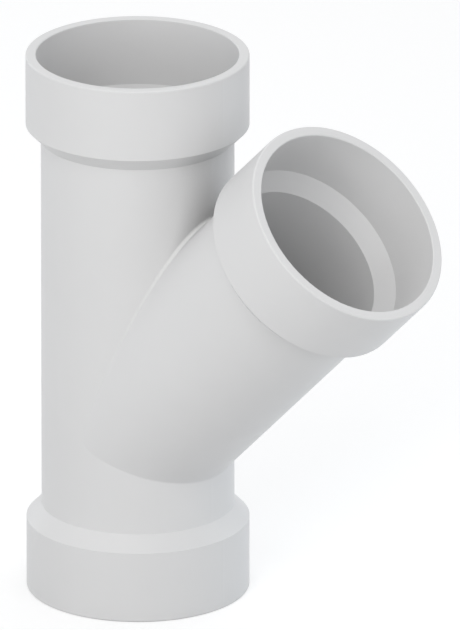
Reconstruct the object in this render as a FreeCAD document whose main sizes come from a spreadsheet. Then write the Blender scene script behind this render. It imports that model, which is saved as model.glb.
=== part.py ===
import FreeCAD, Part
import os
import Sketcher

# Lateral wye fitting: a straight run with one branch that leaves it at an acute angle.
# One moulded piece with a wall of one thickness. Each of its three ends is a wider hub
# whose bore is the socket for a pipe, with a conical shoulder down to the barrel.
# Frame: origin at the centre of the lower hub's end, +Z up the run, +X towards the branch.
# All sizes are in millimetres and degrees.

NODE = "wye_fitting"

# Sizes that can each be set by themselves
DRIVING_SIZES = {
    "pipe_outer_diameter": 114.3,
    "socket_clearance": 0.15,
    "socket_depth": 39.0,
    "wall": 5.9,
    "barrel_outer_diameter": 109.3,
    "branch_inset": 0.3,
    "shoulder_angle": 45.0,
    "branch_angle": 45.0,
    "run_lower_arm": 99.0,
    "run_upper_arm": 220.0,
    "branch_arm": 219.5,
    "junction_fillet": 1.6,
    "rim_round": 1.0,
    "mouth_chamfer": 0.5,
}

# Sizes that follow from them. The clearance is on the radius. The arms are measured from the
# point where the two axes cross. The wall is measured square to the surface, also round the
# shoulder, so the hub is a little longer outside than its socket is deep. The branch's
# barrel is slimmer than the run's by the inset on the radius: its sides sink into the run's
# sides, and the line round the junction closes smoothly there.
FOLLOWING_SIZES = {
    "socket_radius": "=pipe_outer_diameter / 2 + socket_clearance",
    "hub_radius": "=socket_radius + wall",
    "barrel_radius": "=barrel_outer_diameter / 2",
    "bore_radius": "=barrel_radius - wall",
    "hub_length": "=socket_depth + wall * tan(shoulder_angle / 2)",
    "shoulder_end": "=hub_length + (hub_radius - barrel_radius) / tan(shoulder_angle)",
    "stop_end": "=socket_depth + (socket_radius - bore_radius) / tan(shoulder_angle)",
    "branch_barrel_radius": "=barrel_radius - branch_inset",
    "branch_bore_radius": "=branch_barrel_radius - wall",
    "branch_shoulder_end": "=shoulder_end + branch_inset / tan(shoulder_angle)",
    "branch_stop_end": "=stop_end + branch_inset / tan(shoulder_angle)",
    "run_length": "=run_lower_arm + run_upper_arm",
}

# How far a measured radius or place may lie from the named one when an edge is picked
MATCH = 1e-4


def new_sheet(doc):
    """The spreadsheet with one named cell for each size."""
    sheet = doc.addObject("Spreadsheet::Sheet", "sizes")
    rows = list(DRIVING_SIZES.items()) + list(FOLLOWING_SIZES.items())
    for row, (name, value) in enumerate(rows, start=1):
        sheet.set(f"A{row}", name)
        sheet.set(f"B{row}", str(value))
        sheet.setAlias(f"B{row}", name)
    doc.recompute()
    return sheet


def new_sketch(body, name):
    """An empty sketch on the body's XZ plane: its own x is the radius, its own y the axis."""
    plane = next(part for part in body.Origin.OriginFeatures if part.Role == "XZ_Plane")
    sketch = body.newObject("Sketcher::SketchObject", name)
    sketch.AttachmentSupport = [(plane, "")]
    sketch.MapMode = "FlatFace"
    return sketch


def lay_on_branch(sketch):
    """Turn a sketch so that its own y axis is the branch's axis, from where the axes cross."""
    towards_branch = FreeCAD.Rotation(FreeCAD.Vector(0, 0, -1), DRIVING_SIZES["branch_angle"])
    sketch.AttachmentOffset = FreeCAD.Placement(FreeCAD.Vector(), towards_branch)
    sketch.setExpression("AttachmentOffset.Base.y", "sizes.run_lower_arm")
    sketch.setExpression("AttachmentOffset.Rotation.Angle", "sizes.branch_angle")


def value_of(sheet, expression):
    """The number behind a corner's expression, as a first place for the corner."""
    return float(sheet.evalExpression(expression.replace("sizes.", "")))


def draw_half_profile(sketch, sheet, corners):
    """A closed outline through corners given as (name, radius, height along the axis).

    A side between two corners of one radius is held vertical and a side between two corners
    of one height horizontal, so each radius and each height is dimensioned once.
    """
    points = [
        FreeCAD.Vector(value_of(sheet, radius), value_of(sheet, height), 0)
        for _, radius, height in corners
    ]
    count = len(corners)
    for index in range(count):
        sketch.addGeometry(Part.LineSegment(points[index], points[(index + 1) % count]), False)
    for index in range(count):
        following = (index + 1) % count
        sketch.addConstraint(Sketcher.Constraint("Coincident", index, 2, following, 1))
    for index, (name, radius, height) in enumerate(corners):
        _, radius_before, height_before = corners[index - 1]
        side_before = (index - 1) % count
        if radius == "0":
            sketch.addConstraint(Sketcher.Constraint("PointOnObject", index, 1, -2))
        elif radius == radius_before:
            sketch.addConstraint(Sketcher.Constraint("Vertical", side_before))
        else:
            dimension(sketch, "DistanceX", index, f"{name}_radius", radius, points[index].x)
        if height == "0":
            if height_before == "0":
                sketch.addConstraint(Sketcher.Constraint("Horizontal", side_before))
            else:
                sketch.addConstraint(Sketcher.Constraint("PointOnObject", index, 1, -1))
        elif height == height_before:
            sketch.addConstraint(Sketcher.Constraint("Horizontal", side_before))
        else:
            dimension(sketch, "DistanceY", index, f"{name}_height", height, points[index].y)


def dimension(sketch, kind, index, name, expression, value):
    """A named distance from the sketch's origin to a corner, bound to the sizes."""
    number = sketch.addConstraint(Sketcher.Constraint(kind, -1, 1, index, 1, value))
    sketch.renameConstraint(number, name)
    sketch.setExpression(f".Constraints.{name}", expression)


def turn_about_axis(body, kind, name, sketch):
    """Turn a half profile once round its own axis, as added or as removed material."""
    feature = body.newObject(kind, name)
    feature.Profile = sketch
    feature.ReferenceAxis = (sketch, ["V_Axis"])
    feature.Angle = 360
    sketch.Visibility = False
    body.Document.recompute()
    return feature


def outside_of_run(body, sheet):
    """Hub, shoulder, barrel, shoulder and hub, with no bore yet."""
    sketch = new_sketch(body, "run_outline")
    top = "sizes.run_length"
    draw_half_profile(sketch, sheet, [
        ("axis_bottom", "0", "0"),
        ("lower_rim", "sizes.hub_radius", "0"),
        ("lower_hub_end", "sizes.hub_radius", "sizes.hub_length"),
        ("lower_shoulder_end", "sizes.barrel_radius", "sizes.shoulder_end"),
        ("upper_shoulder_end", "sizes.barrel_radius", f"{top} - sizes.shoulder_end"),
        ("upper_hub_end", "sizes.hub_radius", f"{top} - sizes.hub_length"),
        ("upper_rim", "sizes.hub_radius", top),
        ("axis_top", "0", top),
    ])
    return turn_about_axis(body, "PartDesign::Revolution", "run", sketch)


def outside_of_branch(body, sheet):
    """Barrel, shoulder and hub from the crossing of the axes outwards."""
    sketch = new_sketch(body, "branch_outline")
    lay_on_branch(sketch)
    end = "sizes.branch_arm"
    draw_half_profile(sketch, sheet, [
        ("axis_start", "0", "0"),
        ("barrel_start", "sizes.branch_barrel_radius", "0"),
        ("shoulder_end", "sizes.branch_barrel_radius", f"{end} - sizes.branch_shoulder_end"),
        ("hub_end", "sizes.hub_radius", f"{end} - sizes.hub_length"),
        ("rim", "sizes.hub_radius", end),
        ("axis_end", "0", end),
    ])
    return turn_about_axis(body, "PartDesign::Revolution", "branch", sketch)


def inside_of_run(body, sheet):
    """Socket, conical stop, bore, stop and socket, right through the run."""
    sketch = new_sketch(body, "run_bore_outline")
    top = "sizes.run_length"
    draw_half_profile(sketch, sheet, [
        ("axis_bottom", "0", "0"),
        ("lower_mouth", "sizes.socket_radius", "0"),
        ("lower_socket_end", "sizes.socket_radius", "sizes.socket_depth"),
        ("lower_stop_end", "sizes.bore_radius", "sizes.stop_end"),
        ("upper_stop_end", "sizes.bore_radius", f"{top} - sizes.stop_end"),
        ("upper_socket_end", "sizes.socket_radius", f"{top} - sizes.socket_depth"),
        ("upper_mouth", "sizes.socket_radius", top),
        ("axis_top", "0", top),
    ])
    return turn_about_axis(body, "PartDesign::Groove", "run_bore", sketch)


def inside_of_branch(body, sheet):
    """Bore, conical stop and socket from the crossing of the axes outwards."""
    sketch = new_sketch(body, "branch_bore_outline")
    lay_on_branch(sketch)
    end = "sizes.branch_arm"
    draw_half_profile(sketch, sheet, [
        ("axis_start", "0", "0"),
        ("bore_start", "sizes.branch_bore_radius", "0"),
        ("stop_end", "sizes.branch_bore_radius", f"{end} - sizes.branch_stop_end"),
        ("socket_end", "sizes.socket_radius", f"{end} - sizes.socket_depth"),
        ("mouth", "sizes.socket_radius", end),
        ("axis_end", "0", end),
    ])
    return turn_about_axis(body, "PartDesign::Groove", "branch_bore", sketch)


def junction_edges(shape):
    """Names of the edges where the run's barrel meets the branch's barrel."""
    names = []
    for number, edge in enumerate(shape.Edges, start=1):
        sides = shape.ancestorsOfType(edge, Part.Face)
        walls = [side.Surface for side in sides if isinstance(side.Surface, Part.Cylinder)]
        if len(walls) == 2 and abs(walls[0].Axis.dot(walls[1].Axis)) < 1 - MATCH:
            names.append(f"Edge{number}")
    return names


def end_circles(shape, sheet, radius):
    """Names of the edges of that radius in the end planes of the three hubs."""
    crossing = FreeCAD.Vector(0, 0, sheet.run_lower_arm)
    towards_branch = FreeCAD.Rotation(FreeCAD.Vector(0, 1, 0), sheet.branch_angle)
    branch_axis = towards_branch.multVec(FreeCAD.Vector(0, 0, 1))
    centres = [
        FreeCAD.Vector(0, 0, 0),
        FreeCAD.Vector(0, 0, sheet.run_length),
        crossing + branch_axis * sheet.branch_arm,
    ]
    names = []
    for number, edge in enumerate(shape.Edges, start=1):
        if not isinstance(edge.Curve, Part.Circle):
            continue
        if abs(edge.Curve.Radius - radius) > MATCH:
            continue
        if min(edge.Curve.Center.distanceToPoint(centre) for centre in centres) < MATCH:
            names.append(f"Edge{number}")
    return names


def dress_edges(body, kind, name, base, edges, size_property, size_name):
    """Fillet, round or chamfer the named edges of the base feature."""
    feature = body.newObject(kind, name)
    feature.Base = (base, edges)
    feature.setExpression(size_property, f"sizes.{size_name}")
    body.Document.recompute()
    return feature


def check_growth(before, after, grows):
    """Stop if a step that should add material removed it, or the other way round."""
    change = after.Shape.Volume - before.Shape.Volume
    if (change > 0) != grows:
        raise RuntimeError(f"{after.Label} changed the volume by {change:.1f} mm3")


def build_wye(doc, sheet):
    """The whole fitting as one body."""
    body = doc.addObject("PartDesign::Body", NODE)
    body.Label = NODE
    run = outside_of_run(body, sheet)
    branch = outside_of_branch(body, sheet)
    check_growth(run, branch, grows=True)
    fillet = dress_edges(
        body, "PartDesign::Fillet", "junction", branch,
        junction_edges(branch.Shape), "Radius", "junction_fillet")
    check_growth(branch, fillet, grows=True)
    run_bore = inside_of_run(body, sheet)
    check_growth(fillet, run_bore, grows=False)
    branch_bore = inside_of_branch(body, sheet)
    check_growth(run_bore, branch_bore, grows=False)
    rims = dress_edges(
        body, "PartDesign::Fillet", "rims", branch_bore,
        end_circles(branch_bore.Shape, sheet, sheet.hub_radius), "Radius", "rim_round")
    check_growth(branch_bore, rims, grows=False)
    mouths = dress_edges(
        body, "PartDesign::Chamfer", "mouths", rims,
        end_circles(rims.Shape, sheet, sheet.socket_radius), "Size", "mouth_chamfer")
    check_growth(rims, mouths, grows=False)
    body.Tip = mouths
    doc.recompute()
    return body


def check_document(doc, bodies):
    """Every object is up to date, and every body is one valid closed solid."""
    for item in doc.Objects:
        if "Invalid" in item.State or "Error" in item.State:
            raise RuntimeError(f"{item.Label} is in state {item.State}")
    for body in bodies:
        shape = body.Shape
        if shape.isNull() or not shape.isValid() or len(shape.Solids) != 1:
            raise RuntimeError(f"{body.Label} is not one valid solid")


def main():
    doc = FreeCAD.newDocument("lateral_wye")
    sheet = new_sheet(doc)
    bodies = [build_wye(doc, sheet)]
    check_document(doc, bodies)
    os.makedirs("parts", exist_ok=True)
    for body in bodies:
        body.Shape.exportStep(f"parts/{body.Label}.step")
        box = body.Shape.BoundBox
        print(body.Label, "volume", round(body.Shape.Volume), "mm3, faces", len(body.Shape.Faces))
        print("x", round(box.XMin, 2), round(box.XMax, 2), "y", round(box.YMin, 2),
              round(box.YMax, 2), "z", round(box.ZMin, 2), round(box.ZMax, 2))


main()
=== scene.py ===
import math

import bpy
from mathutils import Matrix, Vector


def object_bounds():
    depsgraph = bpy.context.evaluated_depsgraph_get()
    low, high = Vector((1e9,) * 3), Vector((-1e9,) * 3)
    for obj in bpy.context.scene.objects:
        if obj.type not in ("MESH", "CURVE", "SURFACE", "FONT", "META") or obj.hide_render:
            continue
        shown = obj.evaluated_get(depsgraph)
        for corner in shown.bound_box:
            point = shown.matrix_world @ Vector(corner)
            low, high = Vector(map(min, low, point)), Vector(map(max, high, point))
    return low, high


# Lateral wye fitting in smooth pale plastic, standing on its lower hub on a white floor

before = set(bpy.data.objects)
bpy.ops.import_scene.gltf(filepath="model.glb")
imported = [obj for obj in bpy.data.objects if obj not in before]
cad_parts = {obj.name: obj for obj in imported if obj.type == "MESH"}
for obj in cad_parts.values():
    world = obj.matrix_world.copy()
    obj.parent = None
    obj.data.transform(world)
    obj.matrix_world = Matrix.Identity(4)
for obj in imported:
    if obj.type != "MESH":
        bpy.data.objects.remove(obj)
CAD_LOW, CAD_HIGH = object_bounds()

NODE = "wye_fitting"
MM = 0.001
WHITE = (1.0, 1.0, 1.0, 1.0)

# Picture frame in pixels, and the real width of one pixel
FRAME_WIDTH = 460
FRAME_HEIGHT = 630
PIXEL = 0.56514 * MM

# Where the middle of the run's axis lies in the picture, in pixels from its upper left corner
MIDDLE_PX = (137.83, 318.91)

# The camera's direction from the object, in degrees
CAMERA_AZIMUTH = 40.43
CAMERA_ELEVATION = 20.40

# Lens and sensor in millimetres, very long because the photograph shows hardly any perspective
LENS = 1250.0
SENSOR_HEIGHT = 25.0

# The nearest thing the camera sees, in metres, and the farthest, in distances to the object
CLIP_START = 0.1
CLIP_END_DISTANCES = 3

# Even light from all round
SKY_COLOUR = (0.98, 0.988, 1.0, 1.0)
SKY_STRENGTH = 0.58

# The floor in metres, and how much it glows where the camera or gloss sees it
FLOOR_COLOUR = (0.6, 0.6, 0.6, 1.0)
FLOOR_ROUGHNESS = 0.9
FLOOR_GLOW = 0.44
FLOOR_REACH = 6.0

# Lamps: name, height aimed at, azimuth, elevation, diameter, distance, radiance and colour
LAMPS = [
    ("key", 0.16, 22.5, 38.0, 1.6, 2.0, 2.15, (1.0, 0.993, 0.982)),
    ("front", 0.16, 20.0, 10.0, 0.7, 2.0, 2.9, (1.0, 0.995, 0.985)),
    ("right", 0.16, 80.0, 12.0, 0.8, 2.0, 0.9, (0.93, 0.965, 1.0)),
    ("near_mouth", 0.26, 85.0, 5.0, 0.25, 0.55, 0.75, (0.94, 0.97, 1.0)),
    ("low_right", 0.0, 138.0, 10.0, 0.3, 0.36, 1.15, (0.80, 0.90, 1.0)),
    ("back_top", 0.16, 180.0, 65.0, 1.6, 2.0, 1.3, (0.975, 0.99, 1.0)),
    ("back", 0.16, 262.0, 12.0, 1.2, 2.0, 1.0, (0.92, 0.96, 1.0)),
    ("left", 0.16, 310.0, 20.0, 1.1, 2.0, 0.95, (0.90, 0.95, 1.0)),
]

# Painted shade in tight corners: how far the part is felt where it closes in on its own surface
PAINTED_SHADE_REACH = 60 * MM

# The open share below which the painted shade is at its darkest, and from which the colour is
# whole
PAINTED_SHADE_CLOSED = 0.15
PAINTED_SHADE_OPEN = 0.5

# The share of the colour left under the painted shade in the tightest corner
PAINTED_SHADE_DARKEST = 0.62

# The plastic's two tones, where they start in the clouding, and its range of roughness
TONE_LOW = (0.694, 0.692, 0.692, 1.0)
TONE_HIGH = (0.710, 0.708, 0.708, 1.0)
TONE_LOW_FROM = 0.3
TONE_HIGH_FROM = 0.7
SMOOTHEST = 0.40
ROUGHEST = 0.46
SPECULAR_LEVEL = 0.3

# The middle half of a noise pattern's range
MIDDLE_FROM = 0.25
MIDDLE_TO = 0.75

# Height of the soft ripple and of the fine grain on the skin
RIPPLE_HEIGHT = 0.02 * MM
GRAIN_HEIGHT = 0.004 * MM


def direction(azimuth, elevation):
    """Unit vector from the object towards azimuth and elevation in degrees; azimuth 0 is -Y."""
    a = math.radians(azimuth)
    e = math.radians(elevation)
    return Vector((math.sin(a) * math.cos(e), -math.cos(a) * math.cos(e), math.sin(e)))


def middle_of_run():
    """The point halfway up the run's axis."""
    return Vector((0, 0, (CAD_LOW.z + CAD_HIGH.z) / 2))


def add_camera():
    """A far camera with the middle of the run at its place in the picture."""
    back = direction(CAMERA_AZIMUTH, CAMERA_ELEVATION)
    right = Vector((0, 0, 1)).cross(back).normalized()
    up = back.cross(right)
    aim = middle_of_run() + right * ((FRAME_WIDTH / 2 - MIDDLE_PX[0]) * PIXEL)
    aim += up * ((MIDDLE_PX[1] - FRAME_HEIGHT / 2) * PIXEL)
    distance = FRAME_HEIGHT * PIXEL * LENS / SENSOR_HEIGHT
    data = bpy.data.cameras.new("camera")
    data.lens = LENS
    data.sensor_fit = "VERTICAL"
    data.sensor_height = SENSOR_HEIGHT
    data.clip_start = CLIP_START
    data.clip_end = CLIP_END_DISTANCES * distance
    camera = bpy.data.objects.new("camera", data)
    camera.location = aim + back * distance
    camera.rotation_mode = "QUATERNION"
    camera.rotation_quaternion = (-back).to_track_quat("-Z", "Y")
    bpy.context.scene.collection.objects.link(camera)
    bpy.context.scene.camera = camera


def seen_directly(tree):
    """A factor of 1 for camera, glossy and transmission rays, and 0 for diffuse light."""
    path = tree.nodes.new("ShaderNodeLightPath")
    camera_or_glossy = tree.nodes.new("ShaderNodeMath")
    camera_or_glossy.operation = "MAXIMUM"
    tree.links.new(path.outputs["Is Camera Ray"], camera_or_glossy.inputs[0])
    tree.links.new(path.outputs["Is Glossy Ray"], camera_or_glossy.inputs[1])
    any_of_three = tree.nodes.new("ShaderNodeMath")
    any_of_three.operation = "MAXIMUM"
    tree.links.new(camera_or_glossy.outputs[0], any_of_three.inputs[0])
    tree.links.new(path.outputs["Is Transmission Ray"], any_of_three.inputs[1])
    return any_of_three.outputs[0]


def add_world():
    """Even soft light from all round, behind which the camera and gloss see plain white."""
    world = bpy.data.worlds.new("studio")
    bpy.context.scene.world = world
    world.use_nodes = True
    tree = world.node_tree
    light = tree.nodes["Background"]
    light.inputs["Color"].default_value = SKY_COLOUR
    light.inputs["Strength"].default_value = SKY_STRENGTH
    backdrop = tree.nodes.new("ShaderNodeBackground")
    backdrop.inputs["Color"].default_value = WHITE
    backdrop.inputs["Strength"].default_value = 1.0
    mix = tree.nodes.new("ShaderNodeMixShader")
    tree.links.new(seen_directly(tree), mix.inputs["Fac"])
    tree.links.new(light.outputs["Background"], mix.inputs[1])
    tree.links.new(backdrop.outputs["Background"], mix.inputs[2])
    tree.links.new(mix.outputs["Shader"], tree.nodes["World Output"].inputs["Surface"])


def add_floor():
    """A large white floor that keeps the fitting's soft shadow."""
    mesh = bpy.data.meshes.new("floor")
    r = FLOOR_REACH
    mesh.from_pydata([(-r, -r, 0), (r, -r, 0), (r, r, 0), (-r, r, 0)], [], [(0, 1, 2, 3)])
    floor = bpy.data.objects.new("floor", mesh)
    bpy.context.scene.collection.objects.link(floor)
    material = bpy.data.materials.new("floor_white")
    material.use_nodes = True
    tree = material.node_tree
    surface = tree.nodes["Principled BSDF"]
    surface.inputs["Base Color"].default_value = FLOOR_COLOUR
    surface.inputs["Roughness"].default_value = FLOOR_ROUGHNESS
    glow = tree.nodes.new("ShaderNodeEmission")
    glow.inputs["Color"].default_value = WHITE
    glow.inputs["Strength"].default_value = FLOOR_GLOW
    both = tree.nodes.new("ShaderNodeAddShader")
    tree.links.new(surface.outputs["BSDF"], both.inputs[0])
    tree.links.new(glow.outputs["Emission"], both.inputs[1])
    mix = tree.nodes.new("ShaderNodeMixShader")
    tree.links.new(seen_directly(tree), mix.inputs["Fac"])
    tree.links.new(surface.outputs["BSDF"], mix.inputs[1])
    tree.links.new(both.outputs["Shader"], mix.inputs[2])
    tree.links.new(mix.outputs["Shader"], tree.nodes["Material Output"].inputs["Surface"])
    mesh.materials.append(material)


def add_lamp(name, height, azimuth, elevation, diameter, distance, radiance, colour):
    """A soft round lamp that shines on the run's axis at a height, and isn't seen itself."""
    data = bpy.data.lights.new(name, "AREA")
    data.shape = "DISK"
    data.size = diameter
    data.color = colour
    data.energy = radiance * math.pi * math.pi * diameter**2 / 4
    lamp = bpy.data.objects.new(name, data)
    towards_lamp = direction(azimuth, elevation)
    lamp.location = Vector((0, 0, height)) + towards_lamp * distance
    lamp.visible_camera = False
    lamp.rotation_mode = "QUATERNION"
    lamp.rotation_quaternion = towards_lamp.to_track_quat("Z", "Y")
    bpy.context.scene.collection.objects.link(lamp)


def noise(tree, place, scale, detail=2.0, roughness=0.5):
    """A noise pattern in the object's own space, its scale in features per metre."""
    node = tree.nodes.new("ShaderNodeTexNoise")
    node.inputs["Scale"].default_value = scale
    node.inputs["Detail"].default_value = detail
    node.inputs["Roughness"].default_value = roughness
    tree.links.new(place, node.inputs["Vector"])
    return node.outputs["Fac"]


def spread(tree, factor, low, high):
    """The factor's middle half spread over the range from low to high."""
    node = tree.nodes.new("ShaderNodeMapRange")
    node.inputs["From Min"].default_value = MIDDLE_FROM
    node.inputs["From Max"].default_value = MIDDLE_TO
    node.inputs["To Min"].default_value = low
    node.inputs["To Max"].default_value = high
    tree.links.new(factor, node.inputs["Value"])
    return node.outputs["Result"]


def bump(tree, height, distance, below=None):
    """A bump whose full height is the distance in metres, on top of another bump."""
    node = tree.nodes.new("ShaderNodeBump")
    node.inputs["Strength"].default_value = 1.0
    node.inputs["Distance"].default_value = distance
    tree.links.new(height, node.inputs["Height"])
    if below is not None:
        tree.links.new(below, node.inputs["Normal"])
    return node.outputs["Normal"]


def painted_corner_shade(tree, colour):
    """The colour, darkened with painted shade where the part itself closes in on the surface.
    """
    # Painted shade: ambient occlusion darkens the colour where the part closes in on itself
    corners = tree.nodes.new("ShaderNodeAmbientOcclusion")
    corners.only_local = True
    corners.inputs["Distance"].default_value = PAINTED_SHADE_REACH
    share = tree.nodes.new("ShaderNodeMapRange")
    share.inputs["From Min"].default_value = PAINTED_SHADE_CLOSED
    share.inputs["From Max"].default_value = PAINTED_SHADE_OPEN
    share.inputs["To Min"].default_value = PAINTED_SHADE_DARKEST
    tree.links.new(corners.outputs["AO"], share.inputs["Value"])
    painted_shade = tree.nodes.new("ShaderNodeVectorMath")
    painted_shade.operation = "SCALE"
    tree.links.new(colour, painted_shade.inputs[0])
    tree.links.new(share.outputs["Result"], painted_shade.inputs["Scale"])
    return painted_shade.outputs["Vector"]


def plastic():
    """Pale grey moulded plastic: a satin skin with a faint clouding and a very fine grain, its
    colour darkened with painted shade in tight corners.
    """
    material = bpy.data.materials.new("pale_plastic")
    material.use_nodes = True
    tree = material.node_tree
    shader = tree.nodes["Principled BSDF"]
    place = tree.nodes.new("ShaderNodeTexCoord").outputs["Object"]

    clouds = noise(tree, place, scale=14.0, detail=4.0, roughness=0.6)
    tone = tree.nodes.new("ShaderNodeValToRGB")
    low, high = tone.color_ramp.elements
    low.position = TONE_LOW_FROM
    low.color = TONE_LOW
    high.position = TONE_HIGH_FROM
    high.color = TONE_HIGH
    tree.links.new(clouds, tone.inputs["Fac"])
    # Painted shade: the base colour is darkened in the part's own tight corners
    colour = painted_corner_shade(tree, tone.outputs["Color"])
    tree.links.new(colour, shader.inputs["Base Color"])

    patches = noise(tree, place, scale=60.0, detail=3.0)
    roughness = spread(tree, patches, SMOOTHEST, ROUGHEST)
    tree.links.new(roughness, shader.inputs["Roughness"])
    shader.inputs["Specular IOR Level"].default_value = SPECULAR_LEVEL

    grain = noise(tree, place, scale=2200.0)
    ripple = noise(tree, place, scale=180.0)
    skin = bump(tree, ripple, RIPPLE_HEIGHT)
    skin = bump(tree, grain, GRAIN_HEIGHT, skin)
    tree.links.new(skin, shader.inputs["Normal"])
    return material


add_camera()
add_world()
add_floor()
for lamp in LAMPS:
    add_lamp(*lamp)
material = plastic()
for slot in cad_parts[NODE].material_slots:
    slot.material = material

bpy.context.scene.view_settings.view_transform = "Standard"
